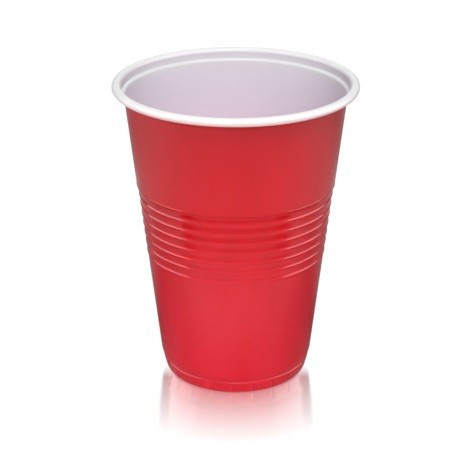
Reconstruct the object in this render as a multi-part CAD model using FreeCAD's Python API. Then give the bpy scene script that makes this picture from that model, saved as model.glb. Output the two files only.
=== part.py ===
import FreeCAD, Part
import math
import os

# Plastic party cup, formed from one thin sheet: red outside, white inside.
# The origin is on the floor under the middle of the cup, and Z points up. Sizes are in millimetres.
# The outline below follows the red side; the white side lies one sheet's thickness inside it.

# Overall sizes
cup_height = 121.0
rim_diameter = 95.0
sheet = 0.45

# Rolled rim: the sheet turns outwards over the top and back under, white side out
roll_width = 3.55
roll_height = 3.0
roll_tuck = 0.9

# Stacking ledge under the rim, where the neck stands wider than the wall
ledge_drop = 4.95
ledge_rise = 0.5

# Wall
wall_top_diameter = 85.9
wall_draft = 6.2
lower_wall_inset = 0.48

# Grip flutes round the middle, shallow hollows between thin crests, each deepest just above its lower crest
flute_count = 7
flute_pitch = 4.05
flutes_start = 51.9
flute_depth = 0.36
flute_valley = 0.3
crest_proud = 0.25
crest_fall = 1.6
top_crest_proud = 0.12
top_crest_fall = 1.0

# Heel, and the foot ring's slanted band under it
heel_height = 7.6
heel_rounding = 7.0
band_height = 5.0
band_step = 0.25
foot_diameter = 57.6

# Foot ring that the cup stands on, folded back up to the raised bottom panel
foot_rounding = 0.9
foot_ring_width = 3.4
ring_lean = 1.0
panel_height = 3.4
panel_dome = 0.6

# Notches round the foot ring's band
notch_count = 22
notch_width = 1.3
notch_depth = 0.15
notch_height = 4.2
first_notch_angle = -93.0

# Round stretches of the outline are drawn in chords
chords_per_bend = 1
chords_per_roll_quarter = 2
same_point = 1e-6

UP = FreeCAD.Vector(0, 0, 1)
ACROSS = FreeCAD.Vector(0, 1, 0)
ORIGIN = FreeCAD.Vector(0, 0, 0)

rim_radius = rim_diameter / 2
foot_radius = foot_diameter / 2
ledge_height = cup_height - ledge_drop
flutes_end = flutes_start + flute_count * flute_pitch
draft_slope = math.tan(math.radians(wall_draft))


def at(radius, height):
    """A point of the cup's half section."""
    return FreeCAD.Vector(radius, 0, height)


def upper_wall(height):
    """Radius of the red side above the flutes."""
    return wall_top_diameter / 2 - draft_slope * (ledge_height - height)


def lower_wall(height):
    """Radius of the red side below the flutes."""
    return upper_wall(height) - lower_wall_inset


def rounded(before, corner, after, rounding, chords):
    """Points along the arc that rounds a corner between two straight runs."""
    back = (before - corner).normalize()
    ahead = (after - corner).normalize()
    half_angle = back.getAngle(ahead) / 2
    arc_start = corner + back * (rounding / math.tan(half_angle))
    centre = corner + (back + ahead).normalize() * (rounding / math.sin(half_angle))
    turn = 180 - math.degrees(2 * half_angle)
    side = 1 if ahead.cross(back).y > 0 else -1
    points = []
    for index in range(chords + 1):
        spoke = FreeCAD.Rotation(ACROSS, side * turn * index / chords).multVec(arc_start - centre)
        points.append(centre + spoke)
    return points


def rounded_run(corners, chords):
    """Points through (point, rounding) corners, with the first and the last left as they are."""
    points = [corners[0][0]]
    for index in range(1, len(corners) - 1):
        corner, rounding = corners[index]
        if rounding:
            points += rounded(corners[index - 1][0], corner, corners[index + 1][0], rounding, chords)
        else:
            points.append(corner)
    points.append(corners[-1][0])
    return points


def foot_points():
    """Bottom panel, foot ring, its band and the heel, from the axis outwards and up."""
    heel = at(lower_wall(heel_height), heel_height)
    band_foot = at(foot_radius, 0)
    band_run = (heel - band_foot) * (band_height / heel_height)
    band_top = band_foot + band_run
    ring_inside = foot_radius - foot_ring_width
    return rounded_run([
        (at(0, panel_height + panel_dome), 0),
        (at(ring_inside, panel_height), 0),
        (at(ring_inside + ring_lean, 0), 0),
        (band_foot, foot_rounding),
        (band_top, 0),
        (band_top + at(-band_step, band_step), 0),
        (heel, heel_rounding),
        (at(lower_wall(flutes_start - crest_fall), flutes_start - crest_fall), 0),
    ], chords_per_bend)


def flute_points():
    """Crests and hollows of the grip flutes, from the lowest crest to the end of the upper wall."""
    top_crest = upper_wall(flutes_end) + top_crest_proud
    points = []
    for index in range(flute_count):
        low = flutes_start + index * flute_pitch
        high = low + flute_pitch
        low_crest = lower_wall(low) + crest_proud
        high_crest = lower_wall(high) + crest_proud
        if index == flute_count - 1:
            high_crest = top_crest
        valley = low_crest + (high_crest - low_crest) * flute_valley - flute_depth
        points.append(at(low_crest, low))
        points.append(at(valley, low + flute_pitch * flute_valley))
    points.append(at(top_crest, flutes_end))
    points.append(at(upper_wall(flutes_end + top_crest_fall), flutes_end + top_crest_fall))
    return points


def rim_points():
    """Ledge, neck and rolled rim, ending where the sheet's edge tucks in under the roll."""
    neck = rim_radius - roll_width + sheet
    inside_roll = roll_height / 2 - sheet
    roll_top = cup_height - sheet
    roll_bottom = cup_height - roll_height + sheet
    roll_outside = rim_radius - sheet
    return rounded_run([
        (at(upper_wall(ledge_height), ledge_height), 0),
        (at(neck, ledge_height + ledge_rise), 0),
        (at(neck, roll_top), inside_roll),
        (at(roll_outside, roll_top), inside_roll),
        (at(roll_outside, roll_bottom), inside_roll),
        (at(neck + roll_tuck, roll_bottom), 0),
    ], chords_per_roll_quarter)


def red_side():
    """The whole outline, with no point given twice in a row."""
    points = []
    for point in foot_points() + flute_points() + rim_points():
        if not points or point.distanceToPoint(points[-1]) > same_point:
            points.append(point)
    return points


def white_side(outline):
    """The outline moved inwards by the sheet's thickness, square to each run."""
    normals = []
    for start, end in zip(outline, outline[1:]):
        normals.append(ACROSS.cross(start - end).normalize())
    inside = [outline[0] + UP * sheet]
    for index in range(1, len(outline) - 1):
        mitre = (normals[index - 1] + normals[index]).normalize()
        inside.append(outline[index] + mitre * (sheet / mitre.dot(normals[index])))
    inside.append(outline[-1] + normals[-1] * sheet)
    return inside


def sheet_section():
    """Face between the red side and the white side."""
    outline = red_side()
    corners = outline + white_side(outline)[::-1] + outline[:1]
    return Part.Face(Part.makePolygon(corners))


def notch_bar():
    """Bar that bites one notch out of the foot ring's band, from its bottom edge up."""
    foot = at(foot_radius, 0)
    run = at(lower_wall(heel_height), heel_height) - foot
    outwards = at(run.z, -run.x).normalize()
    start = foot - outwards * notch_depth - run * 0.3
    end = foot - outwards * notch_depth + run * (notch_height / heel_height)
    side = Part.makePolygon([start, end, end + outwards * sheet, start + outwards * sheet, start])
    return Part.Face(side).translated(ACROSS * (-notch_width / 2)).extrude(ACROSS * notch_width)


def make_cup():
    """The section turned once round, with the notches cut."""
    cup = sheet_section().revolve(ORIGIN, UP, 360)
    bars = []
    for index in range(notch_count):
        angle = first_notch_angle + index * 360 / notch_count
        bars.append(notch_bar().rotated(ORIGIN, UP, angle))
    return cup.cut(bars).Solids[0]


os.makedirs("parts", exist_ok=True)
make_cup().exportStep("parts/cup.step")
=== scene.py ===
import logging
import math
from collections.abc import Callable
from dataclasses import dataclass, field
from enum import Enum

import bpy
from mathutils import Matrix, Vector


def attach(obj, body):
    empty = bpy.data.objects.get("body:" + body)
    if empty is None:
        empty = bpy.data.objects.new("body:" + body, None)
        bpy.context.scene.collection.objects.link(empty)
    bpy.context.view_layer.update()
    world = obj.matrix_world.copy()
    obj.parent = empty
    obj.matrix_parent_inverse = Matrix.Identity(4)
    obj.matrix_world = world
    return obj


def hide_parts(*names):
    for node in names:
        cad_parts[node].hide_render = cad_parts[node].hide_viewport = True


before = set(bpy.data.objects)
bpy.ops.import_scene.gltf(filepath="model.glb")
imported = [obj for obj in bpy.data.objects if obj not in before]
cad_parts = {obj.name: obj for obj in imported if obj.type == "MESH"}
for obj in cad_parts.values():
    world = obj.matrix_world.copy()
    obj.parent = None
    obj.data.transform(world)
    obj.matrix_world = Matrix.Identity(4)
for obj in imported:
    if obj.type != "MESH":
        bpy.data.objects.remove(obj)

# Plastic party cup, formed from one thin sheet: red outside, white inside.
# The cup's own sizes are in millimetres, as in the CAD source. Everything else is in metres.
# The origin is on the floor under the middle of the cup, Z points up and the camera stands at -Y.

MILLIMETRE = 0.001
UP = Vector((0.0, 0.0, 1.0))
SAME_POINT = 1e-7
MERGE_DISTANCE = 1e-6

Span = tuple[float, float]
Triple = tuple[float, float, float]
Colour = tuple[float, float, float, float]

WHITE: Colour = (1.0, 1.0, 1.0, 1.0)
ONTO_FLOOR: Triple = (1.0, 1.0, 0.0)

log = logging.getLogger("party_cup")


class SheetSide(Enum):
    """The two sides of the formed sheet, by the place of their finish on the mesh."""

    OUTSIDE = 0
    INSIDE = 1


@dataclass(frozen=True)
class Corner:
    """One corner of the cup's half section, as drawn before it is rounded.

    Args:
        radius: Distance from the cup's axis, in millimetres.
        height: Height above the floor, in millimetres.
        rounding: Radius of the arc that rounds the corner, or 0 for a sharp one.
        chords: Number of straight pieces in that arc.
    """

    radius: float
    height: float
    rounding: float = 0.0
    chords: int = 1

    @property
    def place(self) -> Vector:
        """The corner as a point of the section's plane."""
        return Vector((self.radius, 0.0, self.height))


class Section:
    """The outline of the sheet's outer side, a run of corners from the axis to the sheet's edge."""

    def __init__(self) -> None:
        """Starts an empty outline."""
        self.corners: list[Corner] = []

    def to(self, radius: float, height: float, rounding: float = 0.0, chords: int = 1) -> None:
        """Draws a straight run to the next corner.

        Args:
            radius: Distance from the cup's axis, in millimetres.
            height: Height above the floor, in millimetres.
            rounding: Radius of the arc that rounds the corner.
            chords: Number of straight pieces in that arc.
        """
        self.corners.append(Corner(radius, height, rounding, chords))

    def _arc(self, index: int) -> list[Vector]:
        """The points that stand for one corner.

        Args:
            index: Which corner.

        Returns:
            The corner itself, or the points of the arc that rounds it.
        """
        corner = self.corners[index]
        place = corner.place
        if corner.rounding == 0.0:
            return [place]
        back = (self.corners[index - 1].place - place).normalized()
        ahead = (self.corners[index + 1].place - place).normalized()
        half_angle = back.angle(ahead) / 2
        arc_start = place + back * (corner.rounding / math.tan(half_angle))
        centre = place + (back + ahead).normalized() * (corner.rounding / math.sin(half_angle))
        axis = ahead.cross(back).normalized()
        turn = math.pi - 2 * half_angle
        spoke = arc_start - centre
        return [
            centre + Matrix.Rotation(turn * step / corner.chords, 3, axis) @ spoke
            for step in range(corner.chords + 1)
        ]

    def points(self) -> list[Vector]:
        """The whole outline with its corners rounded.

        Returns:
            The outline's points in metres, with no point given twice in a row.
        """
        found: list[Vector] = []
        for index in range(len(self.corners)):
            for point in self._arc(index):
                point = point * MILLIMETRE
                if not found or (point - found[-1]).length > SAME_POINT:
                    found.append(point)
        return found


class Hand:
    """Modelling moves on one piece at a time, as they are made by hand."""

    @staticmethod
    def let_go() -> None:
        """Deselects every object, the frame's own nodes among them."""
        bpy.ops.object.select_all(action="DESELECT")

    @staticmethod
    def edit() -> None:
        """Opens the active piece for modelling."""
        bpy.ops.object.mode_set(mode="EDIT")

    @staticmethod
    def done() -> None:
        """Closes the active piece."""
        bpy.ops.object.mode_set(mode="OBJECT")

    @staticmethod
    def pick_all() -> None:
        """Selects all of the open piece."""
        bpy.ops.mesh.select_all(action="SELECT")

    @staticmethod
    def settle() -> None:
        """Puts the piece's place, turn and scale into its mesh."""
        bpy.ops.object.transform_apply(location=True, rotation=True, scale=True)

    @staticmethod
    def start_line(name: str, start: Vector) -> bpy.types.Object:
        """Adds a piece that is a single point, and leaves it open to be drawn out.

        Args:
            name: The piece's name.
            start: Where the point lies.

        Returns:
            The open piece.
        """
        Hand.let_go()
        bpy.ops.mesh.primitive_circle_add(vertices=3, radius=MILLIMETRE, location=start)
        piece = bpy.context.active_object
        piece.name = piece.data.name = name
        Hand.edit()
        Hand.pick_all()
        bpy.ops.mesh.merge(type="CENTER")
        return piece

    @staticmethod
    def draw_on(move: Vector) -> None:
        """Draws the open line on by one straight run."""
        bpy.ops.mesh.extrude_vertices_move(TRANSFORM_OT_translate={"value": move})

    @staticmethod
    def spin_line(columns: int, angle: float, axis: Vector) -> None:
        """Turns the open line round the origin into a surface, and leaves all of it selected.

        Args:
            columns: Number of faces round the turn.
            angle: How far the line is turned, in radians.
            axis: What it is turned about. A part of a turn about UP goes clockwise.
        """
        Hand.pick_all()
        bpy.ops.mesh.spin(steps=columns, angle=angle, center=(0, 0, 0), axis=axis)
        Hand.pick_all()

    @staticmethod
    def pick_faces(piece: bpy.types.Object, wanted: Callable[[Vector], bool]) -> int:
        """Selects faces of a closed piece by their place, and nothing else.

        Args:
            piece: The piece, which isn't open for modelling.
            wanted: Says of a face's middle whether the face is picked.

        Returns:
            The number of faces picked.
        """
        mesh = piece.data
        for vertex in mesh.vertices:
            vertex.select = False
        for edge in mesh.edges:
            edge.select = False
        picked = 0
        for face in mesh.polygons:
            face.select = wanted(face.center)
            picked += face.select
        return picked


class Nodes:
    """A finish's node tree under construction."""

    def __init__(self, tree: bpy.types.NodeTree) -> None:
        """Empties the tree.

        Args:
            tree: The node tree of a material or the world.
        """
        self.tree = tree
        tree.nodes.clear()

    def add(self, kind: str, settings: dict | None = None, **sockets: object) -> bpy.types.Node:
        """Adds a node, sets its options and fills its sockets.

        Args:
            kind: The node's type, without the ShaderNode in front.
            settings: Options of the node, by name.
            sockets: Values or output sockets for its inputs. An underline stands for a space,
                and a name that ends in a number picks an unnamed input by its place.

        Returns:
            The new node.
        """
        node = self.tree.nodes.new("ShaderNode" + kind)
        for name, value in (settings or {}).items():
            setattr(node, name, value)
        for name, value in sockets.items():
            tail = name.rsplit("_", 1)[-1]
            socket = node.inputs[int(tail)] if tail.isdigit() else node.inputs[name.replace("_", " ")]
            if isinstance(value, bpy.types.NodeSocket):
                self.tree.links.new(value, socket)
            else:
                socket.default_value = value
        return node

    def calculate(self, operation: str, first: object, second: object = 0.0) -> bpy.types.NodeSocket:
        """Works out a number.

        Args:
            operation: What is done, by Blender's name for it.
            first: A number or a socket.
            second: A number or a socket.

        Returns:
            The result's socket.
        """
        return self.add("Math", {"operation": operation}, input_0=first, input_1=second).outputs[0]

    def product(self, whole: object, *shares: object) -> bpy.types.NodeSocket:
        """Multiplies shares with each other.

        Args:
            whole: The first share, a number or a socket.
            shares: The other shares.

        Returns:
            The product's socket.
        """
        for share in shares:
            whole = self.calculate("MULTIPLY", whole, share)
        return whole

    def mix(self, share: object, first: object, second: object) -> bpy.types.NodeSocket:
        """Blends two colours.

        Args:
            share: How much of the second colour shows.
            first: A colour or a colour socket.
            second: A colour or a colour socket.

        Returns:
            The blended colour's socket.
        """
        blend = self.add("Mix", {"data_type": "RGBA"}, input_0=share, input_6=first, input_7=second)
        return blend.outputs[2]

    def mix_shaders(self, share: object, first: object, second: object) -> bpy.types.NodeSocket:
        """Blends two shaders.

        Args:
            share: How much of the second shader shows.
            first: A shader's socket.
            second: A shader's socket.

        Returns:
            The blended shader's socket.
        """
        return self.add("MixShader", input_0=share, input_1=first, input_2=second).outputs[0]

    def spread(self, value: bpy.types.NodeSocket, source: Span, result: Span,
               soft: bool = False) -> bpy.types.NodeSocket:
        """Maps one range of values to another, and holds it there.

        Args:
            value: The socket to read.
            source: The range that is read.
            result: The range that comes out.
            soft: Whether the ends are eased.

        Returns:
            The mapped value's socket.
        """
        kind = "SMOOTHSTEP" if soft else "LINEAR"
        node = self.add("MapRange", {"interpolation_type": kind, "clamp": True}, Value=value)
        for name, number in zip(("From Min", "From Max", "To Min", "To Max"), (*source, *result)):
            node.inputs[name].default_value = number
        return node.outputs[0]

    def opposite(self, share: bpy.types.NodeSocket) -> bpy.types.NodeSocket:
        """What a share leaves of the whole."""
        return self.spread(share, (0.0, 1.0), (1.0, 0.0))

    def place(self) -> bpy.types.NodeSocket:
        """The point of the piece, from its own origin."""
        return self.add("TexCoord").outputs["Object"]

    def distance(self, place: bpy.types.NodeSocket, stretch: Triple) -> bpy.types.NodeSocket:
        """Distance from the origin with each axis scaled, so that rings become ovals.

        Args:
            place: The point.
            stretch: Scale along each axis, or 0 to leave an axis out.

        Returns:
            The distance's socket.
        """
        scaled = self.add("Mapping", Vector=place, Scale=stretch).outputs[0]
        return self.add("VectorMath", {"operation": "LENGTH"}, input_0=scaled).outputs["Value"]

    def speckle(self, per_metre: float, detail: float,
                stretch: Triple = (1.0, 1.0, 1.0)) -> bpy.types.NodeSocket:
        """Soft random variation over the piece.

        Args:
            per_metre: How many changes there are in a metre.
            detail: How many finer layers lie over the first.
            stretch: Scale along each axis, below 1 where the variation is drawn out.

        Returns:
            A socket that runs from about 0 to 1.
        """
        stretched = self.add("Mapping", Vector=self.place(), Scale=stretch).outputs[0]
        return self.add("TexNoise", Vector=stretched, Scale=per_metre, Detail=detail).outputs["Fac"]

    def seen_directly(self) -> bpy.types.NodeSocket:
        """Whether a ray comes from the camera, a gloss or something clear.

        Returns:
            A socket that is 1 for such a ray and 0 for the others.
        """
        path = self.add("LightPath")
        seen = path.outputs["Is Camera Ray"]
        for kind in ("Is Glossy Ray", "Is Transmission Ray"):
            seen = self.calculate("MAXIMUM", seen, path.outputs[kind])
        return seen


def new_finish(name: str) -> tuple[bpy.types.Material, Nodes]:
    """Starts a finish.

    Args:
        name: The material's name.

    Returns:
        The material and its empty node tree.
    """
    made = bpy.data.materials.new(name)
    made.use_nodes = True
    return made, Nodes(made.node_tree)


@dataclass(frozen=True)
class RedGloss:
    """The cup's outer side: glossy red plastic, slightly deeper in places, with a fine moulded skin, and
    pinker near the foot with a painted reflection of the white floor.

    Args:
        name: The material's name.
        red: Colour of the wall.
        low_red_painted_reflection: Colour near the foot, pinker with a painted reflection of the white
            floor.
        deep_red: Colour where the sheet is drawn thickest.
        tint_and_painted_light_heights: Heights between which the painted floor reflection near the foot
            fades into the wall's colour.
        drawn_per_metre: How often the sheet's thickness changes.
        drawn_detail: How many finer layers that change has.
        drawn_stretch: Its scale along each axis, drawn out along the height.
        drawn_range: The part of that change that shows.
        drawn_share: How much of the deeper colour shows at most.
        skin_per_metre: How fine the moulded skin is.
        skin_detail: How many finer layers the skin has.
        skin_range: The part of the skin's variation that shows.
        skin_strength: Strength of the skin's bump.
        skin_depth: Depth of the skin's bump.
        roughness: Roughness at both ends of the skin's variation.
        refraction: The plastic's index of refraction.
    """

    name: str = "red_gloss_plastic"
    red: Colour = (0.66, 0.004, 0.012, 1.0)
    low_red_painted_reflection: Colour = (0.66, 0.012, 0.032, 1.0)
    deep_red: Colour = (0.60, 0.002, 0.009, 1.0)
    tint_and_painted_light_heights: Span = (0.030, 0.075)
    drawn_per_metre: float = 60.0
    drawn_detail: float = 2.0
    drawn_stretch: Triple = (1.0, 1.0, 0.25)
    drawn_range: Span = (0.35, 0.7)
    drawn_share: float = 0.6
    skin_per_metre: float = 900.0
    skin_detail: float = 3.0
    skin_range: Span = (0.3, 0.7)
    skin_strength: float = 0.25
    skin_depth: float = 0.000004
    roughness: Span = (0.13, 0.18)
    refraction: float = 1.42

    def material(self) -> bpy.types.Material:
        """Builds the finish.

        Returns:
            The material.
        """
        made, nodes = new_finish(self.name)
        drawn = nodes.speckle(self.drawn_per_metre, self.drawn_detail, self.drawn_stretch)
        skin = nodes.speckle(self.skin_per_metre, self.skin_detail)
        height = nodes.add("SeparateXYZ", Vector=nodes.place()).outputs["Z"]
        # Painted reflection: the red turns pinker towards the foot, standing in for the white floor's gloss.
        red = nodes.mix(nodes.spread(height, self.tint_and_painted_light_heights, (0.0, 1.0)), self.low_red_painted_reflection, self.red)
        deeper = nodes.spread(drawn, self.drawn_range, (0.0, self.drawn_share))
        bump = nodes.add("Bump", Height=skin, Strength=self.skin_strength, Distance=self.skin_depth)
        shader = nodes.add(
            "BsdfPrincipled",
            Base_Color=nodes.mix(deeper, red, self.deep_red),
            Roughness=nodes.spread(skin, self.skin_range, self.roughness),
            Normal=bump.outputs[0],
            IOR=self.refraction,
        )
        nodes.add("OutputMaterial", Surface=shader.outputs[0])
        return made


@dataclass(frozen=True)
class WhitePlastic:
    """The cup's inner side and rolled rim: satin white plastic in lit and shaded copies, tinted by the red
    behind it, with painted shade inside and on the neck and painted pink bounce light lower down and under
    the roll.

    Args:
        name: The material's name.
        rim_white: Colour of the rolled rim.
        neck_painted_shade: Grey of the neck between the stacking ledge and the roll: painted shade under the
            roll.
        inner_wall_tint_and_shade: Colour of the upper wall inside: lilac from the red showing through the
            sheet, and darker than the rim with painted shade.
        low_inside_painted_bounce: Colour of the lower wall and the bottom inside: brighter and pinker than
            the upper wall, painted bounce light, partly the red showing through the sheet.
        roll_painted_bounce_pink: Colour of the roll's underside: painted pink bounce light from the red
            wall.
        tint_and_painted_light_heights: Heights up to which the lower wall's painted bounce light and the
            upper wall's colour show, and from which the neck's painted shade does, with blends between them.
        neck_shade_heights: Heights between which the neck's painted shade turns into the rim's white.
        painted_bounce_heights: Heights between which that painted pink bounce light fades.
        roll_radii: Radii between which the roll begins.
        skin_per_metre: How fine the moulded skin is.
        skin_detail: How many finer layers the skin has.
        skin_range: The part of the skin's variation that shows.
        roughness: Roughness at both ends of the skin's variation.
        refraction: The plastic's index of refraction.
    """

    name: str = "white_plastic"
    rim_white: Colour = (0.92, 0.915, 0.92, 1.0)
    neck_painted_shade: Colour = (0.79, 0.785, 0.80, 1.0)
    inner_wall_tint_and_shade: Colour = (0.805, 0.76, 0.83, 1.0)
    low_inside_painted_bounce: Colour = (0.95, 0.77, 0.875, 1.0)
    roll_painted_bounce_pink: Colour = (0.97, 0.74, 0.71, 1.0)
    tint_and_painted_light_heights: Triple = (0.075, 0.112, 0.1165)
    neck_shade_heights: Span = (0.1190, 0.1200)
    painted_bounce_heights: Span = (0.1184, 0.1204)
    roll_radii: Span = (0.0450, 0.0460)
    skin_per_metre: float = 700.0
    skin_detail: float = 3.0
    skin_range: Span = (0.3, 0.7)
    roughness: Span = (0.42, 0.48)
    refraction: float = 1.42

    def _colour(self, nodes: Nodes) -> bpy.types.NodeSocket:
        """Blends the lit and shaded copies of the white and the painted pink bounce light by their place on
        the cup.

        Args:
            nodes: The finish's node tree.

        Returns:
            The colour's socket.
        """
        place = nodes.place()
        height = nodes.add("SeparateXYZ", Vector=place).outputs["Z"]
        radius = nodes.distance(place, ONTO_FLOOR)
        low, high, top = self.tint_and_painted_light_heights
        # Painted bounce light: the lower inside is brighter and pinker than the upper wall, partly also the
        # red showing through the sheet.
        wall = nodes.mix(nodes.spread(height, (low, high), (0.0, 1.0)), self.low_inside_painted_bounce, self.inner_wall_tint_and_shade)
        # Painted shade: the inside turns into the neck's grey band under the roll.
        over_wall = nodes.spread(height, (high, top), (0.0, 1.0), soft=True)
        inside = nodes.mix(over_wall, wall, self.neck_painted_shade)
        outside = nodes.spread(radius, self.roll_radii, (0.0, 1.0), soft=True)
        over_neck = nodes.spread(height, self.neck_shade_heights, (0.0, 1.0), soft=True)
        whole = nodes.mix(nodes.calculate("MAXIMUM", outside, over_neck), inside, self.rim_white)
        # Painted bounce light: the roll's underside is tinted pink, standing in for light from the red wall.
        painted_bounce_under_roll = nodes.spread(height, self.painted_bounce_heights, (1.0, 0.0), soft=True)
        return nodes.mix(nodes.product(outside, painted_bounce_under_roll), whole, self.roll_painted_bounce_pink)

    def material(self) -> bpy.types.Material:
        """Builds the finish.

        Returns:
            The material.
        """
        made, nodes = new_finish(self.name)
        skin = nodes.speckle(self.skin_per_metre, self.skin_detail)
        shader = nodes.add(
            "BsdfPrincipled",
            Base_Color=self._colour(nodes),
            Roughness=nodes.spread(skin, self.skin_range, self.roughness),
            IOR=self.refraction,
        )
        nodes.add("OutputMaterial", Surface=shader.outputs[0])
        return made


@dataclass
class CupShell:
    """The whole cup as one formed sheet, its sizes in millimetres and degrees.

    Args:
        height: Height of the rolled rim's top.
        rim_diameter: Diameter over the rolled rim.
        sheet: Thickness of the sheet.
        roll_width: Width of the rolled rim.
        roll_height: Height of the rolled rim.
        roll_tuck: How far from the neck the sheet's edge ends under the roll.
        roll_chords: Straight pieces in each quarter of the roll.
        ledge_drop: How far the wall's top lies under the rim's top.
        ledge_rise: Height of the stacking ledge from the wall to the neck.
        ledge_softness: Radius that rounds the ledge's two corners.
        ledge_chords: Straight pieces in each of those arcs.
        wall_top_diameter: Diameter of the red side at the wall's top.
        wall_draft: Lean of the wall from upright.
        wall_break: Height of a ring that halves the upper wall.
        lower_wall_inset: How much further in the wall stands below the flutes.
        lower_wall_break: Height of a ring that halves the lower wall.
        flute_count: Number of grip flutes.
        flute_pitch: Height of one flute.
        flutes_start: Height of the lowest crest.
        flute_depth: How far a flute's hollow lies inside the lower wall's line, above its crest.
        flank_height: Height of the short flank on either side of a crest.
        valley_softness: Radius that rounds a hollow's lower end.
        valley_chords: Straight pieces in that arc.
        flute_end_softness: Radius that rounds a hollow's upper end.
        crest_proud: How far the crests stand out of the lower wall's line.
        crest_fall: Height of the slope under the lowest crest.
        crest_fall_softness: Radius that rounds the foot of that slope.
        crest_fall_chords: Straight pieces in that arc.
        crest_softness: Radius that rounds the crests.
        crest_chords: Straight pieces in the arcs of the crests and of the hollows' upper ends.
        top_crest_proud: How far the top crest stands out of the upper wall.
        top_crest_fall: Height of the slope above the top crest.
        top_crest_fall_softness: Radius that rounds that slope into the wall.
        heel_height: Height at which the wall turns in to the foot ring.
        heel_rounding: Radius of the heel.
        heel_chords: Straight pieces in the heel.
        band_height: Height of the foot ring's slanted band.
        band_step: Size of the step above the band.
        band_softness: Radius that rounds the step's two corners.
        band_chords: Straight pieces in each of those arcs.
        foot_diameter: Diameter of the foot ring.
        foot_rounding: Radius that rounds the foot ring's outer edge.
        foot_chords: Straight pieces in that arc.
        foot_ring_width: Width of the foot ring at the height of the bottom panel.
        ring_lean: How much narrower the ring is at the floor.
        ring_softness: Radius that rounds the foot ring's inner edge.
        panel_height: Height of the bottom panel's edge.
        panel_dome: How much higher the panel's middle is.
        panel_steps: Straight pieces from the panel's middle to its edge.
        panel_softness: Radius that rounds the panel's edge into the foot ring.
        ring_chords: Straight pieces in the arcs of the ring's inner edge and the panel's edge.
        notch_count: Number of notches round the foot ring's band.
        columns_per_notch: Faces round the cup for each notch, of which the notch takes one.
        notch_depth: How deep the notches are pressed in.
        notch_slope: Width of the sloping edge round a notch.
        notch_height: Height of the notches' upper ends.
        first_notch_angle: Where the first notch stands, from +X.
        smooth_angle: Faces that meet at less than this are shaded smooth.
        plain_wall: Heights between which nearly all faces belong to the plain lower wall.
        red: Finish of the outer side.
        white: Finish of the inner side and the rim.
    """

    height: float = 121.0
    rim_diameter: float = 95.0
    sheet: float = 0.45
    roll_width: float = 3.55
    roll_height: float = 3.0
    roll_tuck: float = 0.9
    roll_chords: int = 8
    ledge_drop: float = 4.95
    ledge_rise: float = 0.5
    ledge_softness: float = 0.35
    ledge_chords: int = 4
    wall_top_diameter: float = 85.9
    wall_draft: float = 6.2
    wall_break: float = 98.0
    lower_wall_inset: float = 0.48
    lower_wall_break: float = 30.0
    flute_count: int = 7
    flute_pitch: float = 4.05
    flutes_start: float = 51.9
    flute_depth: float = 0.13
    flank_height: float = 0.75
    valley_softness: float = 2.0
    valley_chords: int = 6
    flute_end_softness: float = 1.6
    crest_proud: float = 0.25
    crest_fall: float = 1.6
    crest_fall_softness: float = 1.2
    crest_fall_chords: int = 3
    crest_softness: float = 0.5
    crest_chords: int = 4
    top_crest_proud: float = 0.17
    top_crest_fall: float = 0.5
    top_crest_fall_softness: float = 0.8
    heel_height: float = 7.6
    heel_rounding: float = 7.0
    heel_chords: int = 8
    band_height: float = 5.0
    band_step: float = 0.25
    band_softness: float = 0.15
    band_chords: int = 3
    foot_diameter: float = 57.6
    foot_rounding: float = 0.9
    foot_chords: int = 6
    foot_ring_width: float = 3.4
    ring_lean: float = 1.0
    ring_softness: float = 0.7
    panel_height: float = 3.4
    panel_dome: float = 0.6
    panel_steps: int = 4
    panel_softness: float = 0.8
    ring_chords: int = 5
    notch_count: int = 22
    columns_per_notch: int = 7
    notch_depth: float = 0.15
    notch_slope: float = 0.20
    notch_height: float = 4.2
    first_notch_angle: float = -93.0
    smooth_angle: float = 38.0
    plain_wall: Span = (10.0, 50.0)
    red: RedGloss = field(default_factory=RedGloss)
    white: WhitePlastic = field(default_factory=WhitePlastic)

    @property
    def columns(self) -> int:
        """Number of faces round the cup."""
        return self.notch_count * self.columns_per_notch

    @property
    def ledge_height(self) -> float:
        """Height of the wall's top, where the stacking ledge starts."""
        return self.height - self.ledge_drop

    def upper_wall(self, height: float) -> float:
        """Radius of the red side above the flutes, at a height."""
        slope = math.tan(math.radians(self.wall_draft))
        return self.wall_top_diameter / 2 - slope * (self.ledge_height - height)

    def lower_wall(self, height: float) -> float:
        """Radius of the red side below the flutes, at a height."""
        return self.upper_wall(height) - self.lower_wall_inset

    def draw_foot(self, section: Section) -> None:
        """Draws the bottom panel, the foot ring, its slanted band and the heel.

        Args:
            section: The outline, still empty.
        """
        foot_radius = self.foot_diameter / 2
        ring_inside = foot_radius - self.foot_ring_width
        slant = (self.lower_wall(self.heel_height) - foot_radius) / self.heel_height
        for step in range(self.panel_steps):
            share = step / self.panel_steps
            dome = self.panel_dome * (1 - share * share)
            section.to(ring_inside * share, self.panel_height + dome)
        section.to(ring_inside, self.panel_height, self.panel_softness, self.ring_chords)
        section.to(ring_inside + self.ring_lean, 0.0, self.ring_softness, self.ring_chords)
        section.to(foot_radius, 0.0, self.foot_rounding, self.foot_chords)
        section.to(foot_radius + slant * self.notch_height, self.notch_height)
        band_radius = foot_radius + slant * self.band_height
        section.to(band_radius, self.band_height, self.band_softness, self.band_chords)
        step_height = self.band_height + self.band_step
        section.to(band_radius - self.band_step, step_height, self.band_softness, self.band_chords)
        section.to(self.lower_wall(self.heel_height), self.heel_height, self.heel_rounding, self.heel_chords)
        section.to(self.lower_wall(self.lower_wall_break), self.lower_wall_break)

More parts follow.
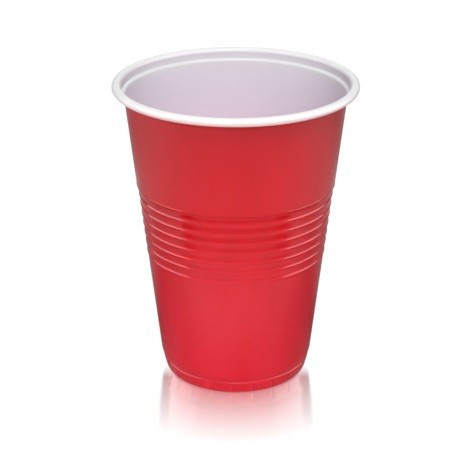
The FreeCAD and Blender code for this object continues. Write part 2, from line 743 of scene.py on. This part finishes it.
    def draw_flutes(self, section: Section) -> None:
        """Draws the grip flutes: thin rounded crests with a flat hollow above each one but the top one.

        Args:
            section: The outline, drawn as far as the lower wall.
        """
        crest_foot = self.flutes_start - self.crest_fall
        section.to(self.lower_wall(crest_foot), crest_foot, self.crest_fall_softness, self.crest_fall_chords)
        for index in range(self.flute_count):
            low = self.flutes_start + index * self.flute_pitch
            section.to(self.lower_wall(low) + self.crest_proud, low, self.crest_softness, self.crest_chords)
            hollow_start = low + self.flank_height
            hollow = self.lower_wall(hollow_start) - self.flute_depth
            section.to(hollow, hollow_start, self.valley_softness, self.valley_chords)
            hollow_end = low + self.flute_pitch - self.flank_height
            section.to(self.lower_wall(hollow_end), hollow_end, self.flute_end_softness, self.crest_chords)
        flutes_end = self.flutes_start + self.flute_count * self.flute_pitch
        top_crest = self.upper_wall(flutes_end) + self.top_crest_proud
        section.to(top_crest, flutes_end, self.crest_softness, self.crest_chords)
        wall_start = flutes_end + self.top_crest_fall
        section.to(self.upper_wall(wall_start), wall_start, self.top_crest_fall_softness, self.crest_chords)

    def draw_rim(self, section: Section) -> None:
        """Draws the upper wall, the stacking ledge, the neck and the rolled rim.

        Args:
            section: The outline, drawn as far as the flutes' end.
        """
        neck = self.rim_diameter / 2 - self.roll_width + self.sheet
        inside_roll = self.roll_height / 2 - self.sheet
        roll_top = self.height - self.sheet
        roll_bottom = self.height - self.roll_height + self.sheet
        roll_outside = self.rim_diameter / 2 - self.sheet
        neck_start = self.ledge_height + self.ledge_rise
        section.to(self.upper_wall(self.wall_break), self.wall_break)
        wall_top = self.wall_top_diameter / 2
        section.to(wall_top, self.ledge_height, self.ledge_softness, self.ledge_chords)
        section.to(neck, neck_start, self.ledge_softness, self.ledge_chords)
        section.to(neck, roll_top, inside_roll, self.roll_chords)
        section.to(roll_outside, roll_top, inside_roll, self.roll_chords)
        section.to(roll_outside, roll_bottom, inside_roll, self.roll_chords)
        section.to(neck + self.roll_tuck, roll_bottom)

    def turn_section(self) -> bpy.types.Object:
        """Draws the outline point by point and turns it once round the axis.

        Returns:
            The open shell of the sheet's red side, its normals outwards.
        """
        section = Section()
        self.draw_foot(section)
        self.draw_flutes(section)
        self.draw_rim(section)
        points = section.points()
        start_angle = math.radians(self.first_notch_angle) + math.pi / self.columns
        turned = Matrix.Rotation(start_angle, 3, UP)

        shell = Hand.start_line("cup_shell", points[0])
        for before, after in zip(points, points[1:]):
            Hand.draw_on(turned @ (after - before))
        Hand.spin_line(self.columns, 2 * math.pi, UP)
        bpy.ops.mesh.remove_doubles(threshold=MERGE_DISTANCE)
        bpy.ops.mesh.normals_make_consistent(inside=False)
        Hand.done()
        if not self._wall_faces_out(shell):
            Hand.edit()
            Hand.pick_all()
            bpy.ops.mesh.flip_normals()
            Hand.done()
        Hand.settle()
        return shell

    def _wall_faces_out(self, shell: bpy.types.Object) -> bool:
        """Whether the wall's normals point away from the axis.

        Args:
            shell: The open shell.

        Returns:
            True where they do. The roll turns the sheet over, so its outermost faces look inwards.
        """
        low, high = (height * MILLIMETRE for height in self.plain_wall)
        lean = 0.0
        for face in shell.data.polygons:
            if low < face.center.z < high:
                lean += face.normal.x * face.center.x + face.normal.y * face.center.y
        return lean > 0

    def press_notches(self, shell: bpy.types.Object) -> None:
        """Presses the notches into the foot ring's band, above the rounding of its edge.

        Args:
            shell: The open shell.
        """
        pitch = math.radians(360 / self.notch_count)
        first = math.radians(self.first_notch_angle)
        half_column = math.pi / self.columns
        low = self.foot_rounding * MILLIMETRE
        top = self.notch_height * MILLIMETRE
        inner = (self.foot_diameter / 2 - self.foot_rounding) * MILLIMETRE

        def in_notch(middle: Vector) -> bool:
            """Whether a face of the band's flat run lies in one of the notch columns."""
            turn = (math.atan2(middle.y, middle.x) - first + pitch / 2) % pitch - pitch / 2
            return abs(turn) < half_column and low < middle.z < top and middle.xy.length > inner

        picked = Hand.pick_faces(shell, in_notch)
        Hand.edit()
        bpy.ops.mesh.inset(
            thickness=self.notch_slope * MILLIMETRE,
            depth=-self.notch_depth * MILLIMETRE,
            use_even_offset=True,
        )
        Hand.done()
        log.info("notches: %d faces pressed in", picked)

    def thicken(self, shell: bpy.types.Object) -> None:
        """Gives the sheet its thickness towards the inside, with the white finish on that side.

        Args:
            shell: The open shell, with both finishes in its slots.
        """
        wall = shell.modifiers.new("sheet", "SOLIDIFY")
        wall.thickness = self.sheet * MILLIMETRE
        wall.offset = -1.0
        wall.use_even_offset = True
        wall.use_quality_normals = True
        wall.material_offset = SheetSide.INSIDE.value
        wall.material_offset_rim = SheetSide.INSIDE.value
        bpy.context.view_layer.objects.active = shell
        bpy.ops.object.modifier_apply(modifier=wall.name)
        bpy.ops.object.shade_smooth_by_angle(angle=math.radians(self.smooth_angle))

    def build(self) -> bpy.types.Object:
        """Models and dresses the cup.

        Returns:
            The finished cup.
        """
        shell = self.turn_section()
        self.press_notches(shell)
        for finish in (self.red, self.white):
            shell.data.materials.append(finish.material())
        self.thicken(shell)
        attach(shell, "root")
        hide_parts("cup")
        log.info("%s: %d vertices, %d faces", shell.name, len(shell.data.vertices), len(shell.data.polygons))
        return shell


@dataclass(frozen=True)
class PolishedFloor:
    """The white floor's finish. It mirrors the cup's foot, and in the cup's gloss it is darker in places.

    A share runs from 0 to 1, and a pair of numbers says where a change starts and ends. Depth runs from the
    camera to the back, through 0 under the cup's middle. Squareness is 1 straight before the cup and 0 at
    its sides. A stretch turns rings round the cup into ovals.

    Args:
        name: The material's name.
        matt_white: Colour of the floor under the lamps.
        white_strength: Brightness of the floor towards the camera, where 1 is white.
        shadow_share: Share of the matt floor, which holds the cup's shadow.
        mirror_share: Share of the mirror at the cup's middle.
        mirror_roughness: Roughness of the mirror.
        mirror_radii: Distances over which the mirror fades.
        mirror_stretch: Stretch of those distances.
        mirror_back: Depths over which it ends towards the back.
        mirror_sides: Distances to the side over which it ends.
        gloss_fade: Depths over which the gloss's floor darkens towards the back.
        gloss_back: Brightness that is left there.
        gloss_near: Brightness next to the foot.
        gloss_radii: Distances over which it brightens from the foot outwards.
        gloss_stretch: Stretch of those distances.
        gloss_end: Distances over which it darkens again further out.
        gloss_end_stretch: Stretch of those distances.
        gloss_far: Brightness that is left beyond them.
        ring_inside: Distances over which the dark ring begins, which the flutes' hollows mirror.
        ring_outside: Distances over which it ends.
        ring_sides: Squareness over which it begins at the sides.
        ring_front: Squareness over which it weakens towards the front.
        ring_depth: Its darkness before and after that.
        behind_fade: Depths over which the floor behind the cup darkens.
        behind_depth: How much darker it gets.
        behind_radii: Distances over which that ends.
    """

    name: str = "polished_white_floor"
    matt_white: Colour = (0.9, 0.9, 0.9, 1.0)
    white_strength: float = 1.07
    shadow_share: float = 0.07
    mirror_share: float = 0.86
    mirror_roughness: float = 0.13
    mirror_radii: Span = (0.025, 0.068)
    mirror_stretch: Triple = (1.1, 1.0, 1.0)
    mirror_back: Span = (-0.016, -0.006)
    mirror_sides: Span = (0.031, 0.036)
    gloss_fade: Span = (-0.04, 0.12)
    gloss_back: float = 0.45
    gloss_near: float = 0.33
    gloss_radii: Span = (0.055, 0.14)
    gloss_stretch: Triple = (0.8, 1.8, 1.0)
    gloss_end: Span = (0.17, 0.24)
    gloss_end_stretch: Triple = (0.75, 1.0, 1.0)
    gloss_far: float = 0.60
    ring_inside: Span = (0.103, 0.111)
    ring_outside: Span = (0.147, 0.155)
    ring_sides: Span = (0.42, 0.50)
    ring_front: Span = (0.67, 0.73)
    ring_depth: Span = (1.0, 0.55)
    behind_fade: Span = (-0.025, 0.02)
    behind_depth: float = 0.60
    behind_radii: Span = (0.12, 0.18)

    def _mirrored(self, nodes: Nodes, place: bpy.types.NodeSocket) -> bpy.types.NodeSocket:
        """Share of the mirror, which ends before the floor behind and beside the cup.

        Args:
            nodes: The finish's node tree.
            place: The point of the floor.

        Returns:
            The share's socket.
        """
        apart = nodes.add("SeparateXYZ", Vector=place)
        to_side = nodes.calculate("ABSOLUTE", apart.outputs["X"])
        from_foot = nodes.distance(place, self.mirror_stretch)
        return nodes.product(
            nodes.spread(from_foot, self.mirror_radii, (self.mirror_share, 0.0)),
            nodes.spread(apart.outputs["Y"], self.mirror_back, (1.0, 0.0)),
            nodes.spread(to_side, self.mirror_sides, (1.0, 0.0)),
        )

    def _dark_ring(self, nodes: Nodes, depth: bpy.types.NodeSocket,
                   radius: bpy.types.NodeSocket) -> bpy.types.NodeSocket:
        """Darkness of the ring before the cup that only the flutes' hollows mirror.

        Args:
            nodes: The finish's node tree.
            depth: Depth of the point.
            radius: Distance of the point from the cup's axis.

        Returns:
            The darkness's socket.
        """
        squareness = nodes.product(nodes.calculate("DIVIDE", depth, radius), -1.0)
        return nodes.product(
            nodes.spread(squareness, self.ring_front, self.ring_depth),
            nodes.spread(squareness, self.ring_sides, (0.0, 1.0)),
            nodes.spread(radius, self.ring_inside, (0.0, 1.0), soft=True),
            nodes.spread(radius, self.ring_outside, (1.0, 0.0), soft=True),
        )

    def _in_gloss(self, nodes: Nodes, place: bpy.types.NodeSocket) -> bpy.types.NodeSocket:
        """Brightness of the floor as the cup's gloss shows it.

        Args:
            nodes: The finish's node tree.
            place: The point of the floor.

        Returns:
            The brightness's socket.
        """
        depth = nodes.add("SeparateXYZ", Vector=place).outputs["Y"]
        radius = nodes.distance(place, ONTO_FLOOR)
        reach = nodes.distance(place, self.gloss_stretch)
        far_reach = nodes.distance(place, self.gloss_end_stretch)
        behind = nodes.product(
            nodes.spread(depth, self.behind_fade, (0.0, self.behind_depth)),
            nodes.spread(radius, self.behind_radii, (1.0, 0.0), soft=True),
        )
        return nodes.product(
            nodes.spread(depth, self.gloss_fade, (1.0, self.gloss_back)),
            nodes.spread(reach, self.gloss_radii, (self.gloss_near, 1.0), soft=True),
            nodes.spread(far_reach, self.gloss_end, (1.0, self.gloss_far), soft=True),
            nodes.opposite(self._dark_ring(nodes, depth, radius)),
            nodes.opposite(behind),
        )

    def material(self) -> bpy.types.Material:
        """Builds the finish.

        Returns:
            The material.
        """
        made, nodes = new_finish(self.name)
        made.cycles.emission_sampling = "NONE"
        place = nodes.place()
        camera_ray = nodes.add("LightPath").outputs["Is Camera Ray"]
        in_gloss = self._in_gloss(nodes, place)
        strength = nodes.add("Mix", input_0=camera_ray, input_2=in_gloss, input_3=self.white_strength)
        white = nodes.add("Emission", Color=WHITE, Strength=strength.outputs[0]).outputs[0]
        matt = nodes.add("BsdfDiffuse", Color=self.matt_white).outputs[0]
        mirror = nodes.add("BsdfGlossy", Color=WHITE, Roughness=self.mirror_roughness).outputs[0]
        shaded = nodes.mix_shaders(nodes.product(camera_ray, self.shadow_share), white, matt)
        shown = nodes.mix_shaders(nodes.product(camera_ray, self._mirrored(nodes, place)), shaded, mirror)
        nodes.add("OutputMaterial", Surface=nodes.mix_shaders(nodes.seen_directly(), matt, shown))
        return made


@dataclass(frozen=True)
class BlackCard:
    """The matt black finish of the cards that stand behind the cup.

    Args:
        name: The material's name.
        black: Its colour.
    """

    name: str = "black_card"
    black: Colour = (0.01, 0.01, 0.01, 1.0)

    def material(self) -> bpy.types.Material:
        """Builds the finish.

        Returns:
            The material.
        """
        made, nodes = new_finish(self.name)
        nodes.add("OutputMaterial", Surface=nodes.add("BsdfDiffuse", Color=self.black).outputs[0])
        return made


@dataclass(frozen=True)
class Lamp:
    """A soft rectangular lamp that faces a point of the cup and isn't seen by the camera.

    Args:
        name: The lamp's name.
        place: Where its middle is.
        width: Its size from side to side.
        height: Its size from top to bottom.
        power: Its power in watts.
        in_diffuse: Whether it lights the surfaces.
        in_gloss: Whether it shows in the cup's gloss.
        beam: How wide its light spreads, in degrees.
        target: The point that it faces.
    """

    name: str
    place: Triple
    width: float
    height: float
    power: float
    in_diffuse: bool = True
    in_gloss: bool = True
    beam: float = 180.0
    target: Triple = (0.0, 0.0, 0.06)

    def hang(self) -> bpy.types.Object:
        """Adds the lamp.

        Returns:
            The lamp.
        """
        Hand.let_go()
        bpy.ops.object.light_add(type="AREA", location=self.place)
        lamp = bpy.context.active_object
        lamp.name = lamp.data.name = self.name
        lamp.data.shape = "RECTANGLE"
        lamp.data.size = self.width
        lamp.data.size_y = self.height
        lamp.data.energy = self.power
        lamp.data.spread = math.radians(self.beam)
        aim = Vector(self.target) - Vector(self.place)
        lamp.rotation_euler = aim.to_track_quat("-Z", "Y").to_euler()
        lamp.visible_camera = False
        lamp.visible_diffuse = self.in_diffuse
        lamp.visible_glossy = self.in_gloss
        return lamp


@dataclass(frozen=True)
class Flag:
    """A curved black card that stands round part of the cup and shows only in its gloss.

    Args:
        name: The card's name.
        angles: Where it starts and ends, in degrees round the cup, with 0 towards the camera.
        heights: Its lower and upper edge.
        distance: How far it stands from the cup's axis.
        columns: Number of faces along its curve.
    """

    name: str
    angles: Span
    heights: Span = (0.0, 0.35)
    distance: float = 0.55
    columns: int = 24

    def stand(self, black: bpy.types.Material) -> bpy.types.Object:
        """Adds the card.

        Args:
            black: Its finish.

        Returns:
            The card, which the camera doesn't see and which throws no shadow.
        """
        start, end = (math.radians(angle - 90) for angle in self.angles)
        low, high = self.heights
        foot = Vector((self.distance * math.cos(start), self.distance * math.sin(start), low))
        card = Hand.start_line(self.name, foot)
        Hand.draw_on(UP * (high - low))
        Hand.spin_line(self.columns, end - start, -UP)
        Hand.done()
        Hand.settle()
        card.data.materials.append(black)
        card.visible_camera = card.visible_diffuse = card.visible_shadow = False
        return card


@dataclass(frozen=True)
class PhotoCamera:
    """The camera that took the photograph, as fitted to the cup's outline in it.

    Args:
        place: Where it stands.
        pitch: How far it looks down, in radians.
        focal_pixels: Its focal length in the photograph's pixels.
        picture_pixels: Width of the photograph.
        sensor_width: Width of the sensor, in millimetres.
        nearest: Distance at which its view starts.
    """

    place: Triple = (0.00047, -0.49780, 0.27493)
    pitch: float = 0.41545
    focal_pixels: float = 1352.4
    picture_pixels: float = 474.0
    sensor_width: float = 36.0
    nearest: float = 0.01

    def set_up(self) -> bpy.types.Object:
        """Adds the camera and looks through it.

        Returns:
            The camera.
        """
        Hand.let_go()
        turn = (math.pi / 2 - self.pitch, 0.0, 0.0)
        bpy.ops.object.camera_add(location=self.place, rotation=turn)
        camera = bpy.context.active_object
        camera.data.sensor_width = self.sensor_width
        camera.data.lens = self.focal_pixels * self.sensor_width / self.picture_pixels
        camera.data.clip_start = self.nearest
        bpy.context.scene.camera = camera
        return camera


@dataclass
class Studio:
    """Floor, plain white room, soft lamps, black cards and the camera.

    Args:
        floor_size: Length of the floor's sides.
        floor_gap: How far the floor lies under the foot, so that the two don't touch.
        room_light: Strength of the room's light on the cup.
        floor: The floor's finish.
        card: The black cards' finish.
        camera: The camera.
        lamps: The lamps. The strips at both sides show only in the cup's gloss.
        flags: The black cards.
    """

    floor_size: float = 6.0
    floor_gap: float = 0.00002
    room_light: float = 0.12
    floor: PolishedFloor = field(default_factory=PolishedFloor)
    card: BlackCard = field(default_factory=BlackCard)
    camera: PhotoCamera = field(default_factory=PhotoCamera)
    lamps: tuple[Lamp, ...] = (
        Lamp("top_lamp", (0.16, -0.62, 1.18), width=0.7, height=0.6, power=11.5),
        Lamp("front_lamp", (0.0, -1.15, 0.72), width=1.0, height=0.5, power=2.0),
        Lamp("back_lamp", (-0.05, 0.92, 0.98), width=0.6, height=0.55, power=1.5),
        Lamp("low_left_lamp", (-0.95, -0.86, 0.40), width=1.0, height=0.6, power=1.55, in_gloss=False),
        Lamp("low_right_lamp", (0.80, -1.00, 0.40), width=1.0, height=0.6, power=0.6, in_gloss=False),
        Lamp("left_side_lamp", (-0.98, 0.17, 0.06), width=0.3, height=0.1, power=0.9, in_gloss=False,
             target=(0.0, 0.0, 0.085)),
        Lamp("foot_lamp", (-0.15, -0.9, 0.10), width=0.5, height=0.1, power=0.06, in_gloss=False,
             beam=14.0, target=(0.0, 0.0, 0.01)),
        Lamp("left_strip", (-0.45, -0.025, 0.26), width=0.49, height=0.52, power=3.5, in_diffuse=False,
             target=(0.0, -0.025, 0.27)),
        Lamp("right_strip", (0.45, -0.025, 0.26), width=0.49, height=0.52, power=3.4, in_diffuse=False,
             target=(0.0, -0.025, 0.27)),
    )
    flags: tuple[Flag, ...] = (
        Flag("left_back_flag", (-170.0, -113.0)),
        Flag("right_back_flag", (113.0, 170.0)),
    )

    def lay_floor(self) -> bpy.types.Object:
        """Adds the white floor.

        Returns:
            The floor.
        """
        Hand.let_go()
        bpy.ops.mesh.primitive_plane_add(size=self.floor_size, location=(0, 0, -self.floor_gap))
        floor = bpy.context.active_object
        floor.name = floor.data.name = "studio_floor"
        floor.data.materials.append(self.floor.material())
        return floor

    def light_room(self) -> None:
        """Fills the room with plain white light, hangs the lamps and stands the black cards."""
        world = bpy.data.worlds.new("studio_room")
        world.use_nodes = True
        world.cycles.sampling_method = "NONE"
        bpy.context.scene.world = world
        nodes = Nodes(world.node_tree)
        white = nodes.add("Background", Color=WHITE, Strength=1.0).outputs[0]
        room = nodes.add("Background", Color=WHITE, Strength=self.room_light).outputs[0]
        nodes.add("OutputWorld", Surface=nodes.mix_shaders(nodes.seen_directly(), room, white))
        for lamp in self.lamps:
            lamp.hang()
        black = self.card.material()
        for flag in self.flags:
            flag.stand(black)

    def build(self) -> None:
        """Sets up the whole studio."""
        self.lay_floor()
        self.light_room()
        self.camera.set_up()
        bpy.context.scene.view_settings.view_transform = "Standard"
        log.info("studio: %d lamps and %d black cards", len(self.lamps), len(self.flags))


def main() -> None:
    """Builds the cup and the studio."""
    logging.basicConfig(level=logging.INFO, format="%(name)s: %(message)s")
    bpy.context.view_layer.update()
    cup = CupShell().build()
    Studio().build()
    log.info("%s rides on root in place of the packed cup", cup.name)


if __name__ == "__main__":
    main()
